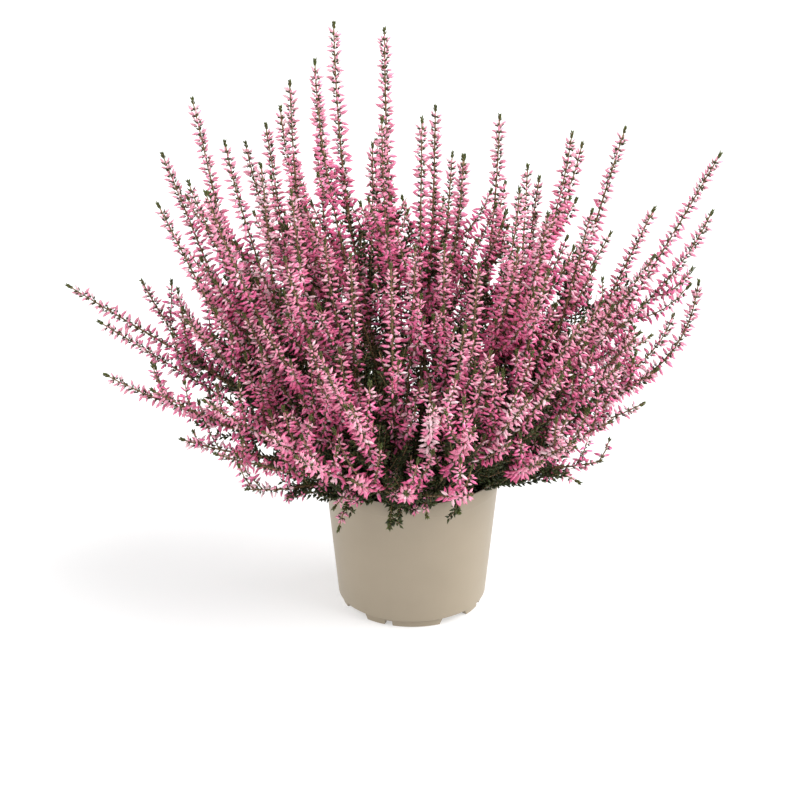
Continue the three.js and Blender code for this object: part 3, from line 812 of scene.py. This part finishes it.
def bud_parts(way, first, random, stem_radius, vigour=1.0, tone=(0, 1), fullness=1.0):
    """Buds in whorls from a share of the length to the bare tip, and a bract over each.

    Fullness is the share of all places in the whorls that hold a bud.
    """
    length = way["length"]
    last = bare_from(length)
    start = first * length
    whorls = max(1, round((last - start) / WHORL_GAP))
    order, place = np.argwhere(random.random((whorls, BUDS_IN_WHORL)) < fullness).T
    count = len(order)
    u = (order + 0.5) / whorls
    run = start + (last - start) * u * (1 + WHORL_CROWDING * (1 - u))
    run = run + random.uniform(-OFF_WHORL, OFF_WHORL, count)
    points, direction, across = at_run(way, run)
    angle = 2 * np.pi * place / BUDS_IN_WHORL + WHORL_TURN * order
    angle = angle + random.normal(0, BUD_TURN_SCATTER, count)
    youth = np.clip(1 - (last - run) / (TAPER_OVER * length), 0, 1)
    rise = np.radians(BUD_RISE + MORE_RISE_AT_TIP * youth**2)
    rise = rise + random.normal(0, BUD_RISE_SCATTER, count)
    pointing, out, beside = stand_off(direction, across, angle, rise)
    size = random.normal(1, BUD_SIZE_SCATTER, count).clip(SMALLEST_BUD, LARGEST_BUD) * vigour
    bud_length = size * (BUD_LENGTH + (BUD_LENGTH_AT_TIP - BUD_LENGTH) * youth)
    bud_width = size * (BUD_WIDTH + (BUD_WIDTH_AT_TIP - BUD_WIDTH) * youth)
    roots = points + out * (stem_radius + BUD_STALK)
    tint = random.uniform(*tone, count)
    age_and_shade = 1 - run / length
    buds = copies(BUD, roots, pointing, beside, bud_length, bud_width, CALYX, tint, age_and_shade)
    over = np.cross(beside, pointing)
    sideways = random.normal(0, BRACT_SCATTER, (count, 1)) * beside
    bracts = copies(
        LEAF_SCALE,
        roots - BRACT_ROOT * pointing,
        unit(pointing + BRACT_TILT * over + sideways),
        beside,
        BRACT_LENGTH,
        BRACT_WIDTH,
        LEAF,
        random.uniform(*BRACT_TINTS, count),
        BRACT_AGE,
    )
    return [buds, bracts]


def leaf_part(way, start, end, random, gap, ranks, rise=45, size=1.0, age_and_shade=0.0, tint=(0, 1)):
    """Scale leaves in whorls of a number of ranks, between two distances along a way."""
    whorls = max(1, round((end - start) / gap))
    order = np.repeat(np.arange(whorls), ranks)
    run = start + (end - start) * (order + 0.5) / whorls
    points, direction, across = at_run(way, run)
    angle = 2 * np.pi * (np.tile(np.arange(ranks), whorls) + 0.5 * (order % 2)) / ranks
    angle = angle + random.normal(0, LEAF_TURN_SCATTER, len(run))
    lift = np.radians(rise) + random.normal(0, LEAF_RISE_SCATTER, len(run))
    pointing, out, beside = stand_off(direction, across, angle, lift)
    roots = points + LEAF_OFF_AXIS * out
    length = size * LEAF_LENGTH * random.normal(1, LEAF_SIZE_SCATTER, len(run))
    width = size * LEAF_WIDTH
    tints = random.uniform(*tint, len(run))
    return copies(LEAF_SCALE, roots, pointing, beside, length, width, LEAF, tints, age_and_shade)


def tip_part(way, random):
    """The tuft of young scales at a stem's end, closed like an ear."""
    length = way["length"]
    return leaf_part(way, bare_from(length) + TUFT_FROM, length, random, **TUFT_LEAVES)


# %% [markdown]
# ## Leafy twigs and side spikes
#
# The main stem of every spray carries short green twigs on its lower part, and together they
# make the mossy skirt round the foot of the bush that hides the compost. Its scales keep to the
# darker greens as painted shade of the bush's inside. A twig leaves its stem at some height, at
# an angle, and bends up. Its scales are drawn larger than life, so that fewer of them fill it.
# Three twigs in ten bear small late buds on their outer half.
# Higher up, every long stem bears a few side spikes: branches of the same kind that flower
# nearly from their root. Both get shorter towards the stem's tip. Their directions are random,
# and nothing keeps them clear of their neighbours or of the pot's rim, so some run through.

# %% Twigs and side spikes
BRANCH_HOLDS = (0.35, 0.65, 0.85)  # shares of its length at which a branch is held and ends
RISE_AT_HOLD = 0.3  # share of its rise that a branch has at the second of them
BRANCH_BARE = 1.0  # mm without leaves at its root
OFF_STEM = 50  # degrees by which a branch rises from square to its stem
TWIG_STEM = (0.45, 0.25, 0.4)  # radius at the root and at the tip, and age at the root
TWIG_RISE = 0.3  # share of its length by which a twig bends up
TWIG_LENGTHS = (22, 48)
# the twigs' scales take only the darker tints: painted shade of the bush's inside
TWIG_LEAVES = {"gap": 1.9, "ranks": 2, "size": 1.7, "tint": (0, 0.4)}
TWIG_BUDDED = 0.3  # share of the twigs that bear buds
TWIG_BUDS_FROM = 0.5
TWIG_BUDS = {"stem_radius": 0.3, "vigour": 0.72}
SIDE_SPIKE_STEM = (0.5, 0.3, 0.5)
SIDE_SPIKE_RISE = 0.45
SIDE_SPIKE_BUDS_FROM = 0.12
SIDE_SPIKE_BUDS = {"stem_radius": 0.4, "vigour": 0.9}
SIDE_SPIKE_LEAVES = {"gap": WHORL_GAP, "ranks": 2}


def branch_way(way, share, angle, length, upward):
    """A short branch on a way: it leaves the stem at an angle, bows and ends more upright."""
    point, direction, across = at_run(way, np.array([share * way["length"]]))
    (pointing,), _, _ = stand_off(direction, across, np.array([angle]), np.radians([OFF_STEM]))
    root = point[0]
    up = np.array([0, 0, upward * length])
    first, second, end = BRANCH_HOLDS
    holds = (
        root,
        root + first * length * pointing,
        root + second * length * pointing + RISE_AT_HOLD * up,
        root + end * length * pointing + up,
    )
    return way_along(holds, np.degrees(angle))


def twig_parts(way, share, angle, length, random):
    """A green twig, and buds on the outer half of some."""
    twig = branch_way(way, share, angle, length, TWIG_RISE)
    budded = random.uniform() < TWIG_BUDDED
    leafy_to = twig["length"] * (TWIG_BUDS_FROM if budded else 1.0)
    parts = [
        stem_part(twig, *TWIG_STEM),
        leaf_part(twig, BRANCH_BARE, leafy_to, random, **TWIG_LEAVES),
    ]
    if budded:
        parts += bud_parts(twig, TWIG_BUDS_FROM, random, **TWIG_BUDS)
    return parts


def side_spike_parts(way, share, angle, length, random, **buds):
    """A short flowering branch that bows up beside its stem, with buds nearly from its root."""
    spike = branch_way(way, share, angle, length, SIDE_SPIKE_RISE)
    return [
        stem_part(spike, *SIDE_SPIKE_STEM),
        *bud_parts(spike, SIDE_SPIKE_BUDS_FROM, random, **SIDE_SPIKE_BUDS, **buds),
        leaf_part(spike, BRANCH_BARE, length, random, **SIDE_SPIKE_LEAVES),
        tip_part(spike, random),
    ]


# %% [markdown]
# ## The flowering sprays
#
# Every spray is now one piece: its stems, its buds and bracts, the leaves between them, the
# tufts at its tips, its side spikes and the twigs round its foot. Each has its own seed, so
# that it grows the same each time the script runs.

# %% What a spray carries
SPRAY_SEED = 100
MAIN_STEM, SIDE_STEM = (1.3, 0.4, 1.0), (0.8, 0.4, 0.6)  # radii in mm, and age, as of a twig
MAIN_BUDS_FROM, SIDE_BUDS_FROM = 0.31, 0.22
LATER_WHEN_LOW = 0.33  # how much later the buds of the lowest stem start
BUDS_OFF_AXIS = 0.7  # mm, the radius of a long stem where its buds stand
LEAVES_AMONG_BUDS = {"gap": WHORL_GAP, "ranks": 3, "size": 1.25, "age_and_shade": 0.85}
# the leaves below the buds take the darker tints and a high age: painted shade deep in the bush
LEAVES_BELOW_BUDS = {"gap": 2.4, "ranks": 3, "size": 1.35, "age_and_shade": 0.9, "tint": (0, 0.5)}
LEAVES_FROM = 3  # mm above the foot
TWIGS_ON_MAIN = 28
TWIG_FROM, TWIG_TO, TWIG_TO_WHEN_LOW = 0.03, 0.6, 0.62
TWIG_SHRINK = 0.8  # how much shorter a twig gets, per share of its stem's length
TWIG_CROWDING = 1.1  # the power that crowds the twigs towards the foot
SIDE_SPIKES_ON_WAY, SIDE_SPIKES_WHEN_UPRIGHT = 2, 4
SIDE_SPIKE_ANGLES = (-2.7, -0.4)  # round the stem: its outer side, or the upper if it is low
UPRIGHT, LOW = 26, 44  # leans up to and from which a stem counts as upright and as low
FULL_UP_TO, LOWEST_FULLNESS = 63, 0.7  # lean from which a stem bears fewer buds, and how few
SIDE_SPIKE_SPAN = 0.38  # share of the stem, from its first buds on, on which side spikes grow
SIDE_SPIKE_LENGTHS = (36, 78)
SIDE_SPIKE_SHRINK = 0.8  # how much shorter it gets, per share of its stem's length
PALE_SHARE, DULL_SHARE = 0.12, 0.22  # of all spikes
FULL, PALE, DULL = (0.0, 1.0), (0.75, 1.0), (0.0, 0.45)  # ranges of the buds' tint


def spray_ways(spikes):
    """The ways of a spray's stems: its main stem first, and then its side stems."""
    main = main_holds(spikes[0])
    forks = [side_holds(main, spike, order) for order, spike in enumerate(spikes[1:])]
    return [way_along(holds, spike[0]) for holds, spike in zip([main, *forks], spikes)]


def flowering_parts(way, first, lean, random):
    """What a long stem carries, with its first buds at a share of its length."""
    draw = random.uniform()
    tone = PALE if draw < PALE_SHARE else DULL if draw < PALE_SHARE + DULL_SHARE else FULL
    fullness = np.interp(lean, [FULL_UP_TO, LOWEST_LEAN], [1, LOWEST_FULLNESS])
    buds = {"tone": tone, "fullness": fullness}
    length = way["length"]
    parts = [
        *bud_parts(way, first, random, BUDS_OFF_AXIS, **buds),
        leaf_part(way, first * length, length - BARE_TIP, random, **LEAVES_AMONG_BUDS),
        leaf_part(way, LEAVES_FROM, first * length, random, **LEAVES_BELOW_BUDS),
        tip_part(way, random),
    ]
    count = SIDE_SPIKES_WHEN_UPRIGHT if lean < UPRIGHT else SIDE_SPIKES_ON_WAY
    shares = first + random.uniform(0, SIDE_SPIKE_SPAN, count)
    angles = random.uniform(*SIDE_SPIKE_ANGLES, count) * (-1 if lean > LOW else 1)
    lengths = random.uniform(*SIDE_SPIKE_LENGTHS, count) * (1 - SIDE_SPIKE_SHRINK * shares)
    for share, angle, length in zip(shares, angles, lengths):
        parts += side_spike_parts(way, share, angle, length, random, **buds)
    return parts


def skirt_parts(way, lean, random):
    """The leafy twigs on the lower part of a main stem."""
    highest = TWIG_TO_WHEN_LOW if lean > LOW else TWIG_TO
    shares = TWIG_FROM + (highest - TWIG_FROM) * random.random(TWIGS_ON_MAIN) ** TWIG_CROWDING
    angles = random.uniform(0, 2 * np.pi, TWIGS_ON_MAIN)
    lengths = random.uniform(*TWIG_LENGTHS, TWIGS_ON_MAIN) * (1 - TWIG_SHRINK * shares)
    parts = []
    for share, angle, length in zip(shares, angles, lengths):
        parts += twig_parts(way, share, angle, length, random)
    return parts


# %% Growing the sprays
triangles = 0
for number, spikes in enumerate(SPRAYS, 1):
    random = np.random.default_rng(SPRAY_SEED + number)
    ways = spray_ways(spikes)
    parts = [stem_part(ways[0], *MAIN_STEM, below=FOOT_DEPTH)]
    parts += [stem_part(way, *SIDE_STEM) for way in ways[1:]]
    for order, (way, (_, lean, *_)) in enumerate(zip(ways, spikes)):
        first = SIDE_BUDS_FROM if order else MAIN_BUDS_FROM
        first += LATER_WHEN_LOW * (lean / LOWEST_LEAN) ** 3
        parts += flowering_parts(way, first, lean, random)
    parts += skirt_parts(ways[0], spikes[0][1], random)
    spray = make_piece(f"budding_spray_{number:02d}", parts, PLANT_MATERIALS)
    triangles += stand_for(spray, f"spray_{number:02d}")
print(f"{len(SPRAYS)} sprays: {triangles:,} triangles")

# %% [markdown]
# ## The low shoots
#
# Ten low shoots bend over the rim. Six of them bear buds on their outer part. Their scales
# stand in four close ranks that give them a square, cypress-like look, and each has three
# short twigs, of which some bear late buds like those of the sprays.

# %% Growing the low shoots
SHOOT_SEED = 500
SHOOT_STEM = (0.9, 0.35, 0.7)
SHOOT_LEAVES = {"gap": 1.4, "ranks": 4}
SHOOT_LEAVES_FROM = 2
SHOOT_BUDS = {"stem_radius": 0.5, "vigour": 0.85}
SHOOT_TWIGS, SHOOT_TWIG_LENGTHS = 3, (8, 16)
SHOOT_TWIGS_FROM, SHOOT_TWIGS_TO = 0.35, 0.9  # shares of the whole, and of its green part

triangles = 0
for number, (azimuth, reach, height, green) in enumerate(SHOOTS, 1):
    random = np.random.default_rng(SHOOT_SEED + number)
    way = way_along(shoot_holds(azimuth, reach, height), azimuth)
    parts = [
        stem_part(way, *SHOOT_STEM, below=FOOT_DEPTH),
        leaf_part(way, SHOOT_LEAVES_FROM, green * way["length"], random, **SHOOT_LEAVES),
        tip_part(way, random),
    ]
    if green < 1:
        parts += bud_parts(way, green, random, **SHOOT_BUDS)
    for share in random.uniform(SHOOT_TWIGS_FROM, SHOOT_TWIGS_TO * green, SHOOT_TWIGS):
        angle = random.uniform(0, 2 * np.pi)
        parts += twig_parts(way, share, angle, random.uniform(*SHOOT_TWIG_LENGTHS), random)
    shoot = make_piece(f"low_shoot_{number}", parts, PLANT_MATERIALS)
    triangles += stand_for(shoot, f"leafy_shoot_{number}")
print(f"{len(SHOOTS)} low shoots: {triangles:,} triangles")

# %% [markdown]
# ## The studio
#
# The floor is a large pale sheet without an edge in view. A white sky lights the plant softly
# from everywhere. Two wide lights, a strong one on the right and a weaker one on the left,
# both a little in front, make the pot's sides brighter than its middle and set the buds off
# from the gaps. They are as even over the whole floor as distant lights are, so the floor has
# no bright patch. The sheet also glows faintly by itself, like a lit table, which keeps the
# shadows on it thin. The colours are shown as they are, without a film curve, so that pink
# stays pink.

# %% Floor and lights
FLOOR_HALF = 9000  # mm, half of a side of the sheet
FLOOR_GLOW, SKY_STRENGTH = 0.42, 0.42

matt_paper, tree = empty_material("matt_paper")
finish_material(tree, {
    "Base Color": linear("#cacaca"),
    "Roughness": 0.9,
    "Specular IOR Level": 0.1,
    "Emission Color": linear("#ffffff"),
    "Emission Strength": FLOOR_GLOW,
})
corners = FLOOR_HALF * MM * np.array([(-1, -1, 0), (1, -1, 0), (1, 1, 0), (-1, 1, 0)])
sheet = bpy.data.meshes.new("studio_floor")
sheet.from_pydata((corners + POT_AXIS).tolist(), [], [(0, 1, 2, 3)])
sheet.materials.append(matt_paper)
studio_floor = bpy.data.objects.new("studio_floor", sheet)
bpy.context.scene.collection.objects.link(studio_floor)
studio_floor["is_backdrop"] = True

world = bpy.data.worlds.new("white_studio")
world.use_nodes = True
sky = world.node_tree.nodes["Background"]
sky.inputs["Color"].default_value = (1, 1, 1, 1)
sky.inputs["Strength"].default_value = SKY_STRENGTH
bpy.context.scene.world = world

SOFTNESS = 60  # degrees across which each light shines, as a soft box near by does
LAMPS = {  # azimuth, lean from upright and strength
    "soft_light_right": (-8, 50, 4.5),
    "soft_light_left": (192, 50, 1.9),
}
for name, (azimuth, lean, strength) in LAMPS.items():
    soft_light = bpy.data.lights.new(name, "SUN")
    soft_light.angle = np.radians(SOFTNESS)
    soft_light.energy = strength
    lamp = bpy.data.objects.new(name, soft_light)
    lamp.location = leaning(azimuth, lean)
    lamp.rotation_euler = (np.radians(lean), 0, np.radians(azimuth + 90))
    bpy.context.scene.collection.objects.link(lamp)
    print(f"{name}: {strength} from {azimuth} degrees, {90 - lean} degrees above level")
bpy.context.scene.view_settings.view_transform = "Standard"

# %% [markdown]
# ## The camera
#
# The picture looks down on the pot by 24 degrees from a metre and a half away, through a long
# lens, so that the pot's sides stay nearly parallel.

# %% Camera
LOOK_AT = np.array([-7.5, 0.0, 134.5])
DISTANCE = 1500
PITCH = 24
FOCAL_PIXELS, PICTURE_PIXELS, SENSOR = 2443, 800, 36

camera = bpy.data.cameras.new("camera")
camera.sensor_width = SENSOR
camera.lens = SENSOR * FOCAL_PIXELS / PICTURE_PIXELS
view = bpy.data.objects.new("camera", camera)
view.location = (LOOK_AT + DISTANCE * leaning(-90, 90 - PITCH)) * MM + POT_AXIS
view.rotation_euler = (np.radians(90 - PITCH), 0, 0)
bpy.context.scene.collection.objects.link(view)
bpy.context.scene.camera = view
print(f"lens {camera.lens:.1f} mm, camera at {(np.array(view.location) / MM).round()} mm")

# %% Sizes
bpy.context.view_layer.update()
boxes = {
    name: [list(corner) for corner in box]
    for name, box in (("cad", cad_box), ("visual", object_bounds()))
}
for name, box in boxes.items():
    print(name, "box in mm:", (np.array(box) / MM).round(1).tolist())
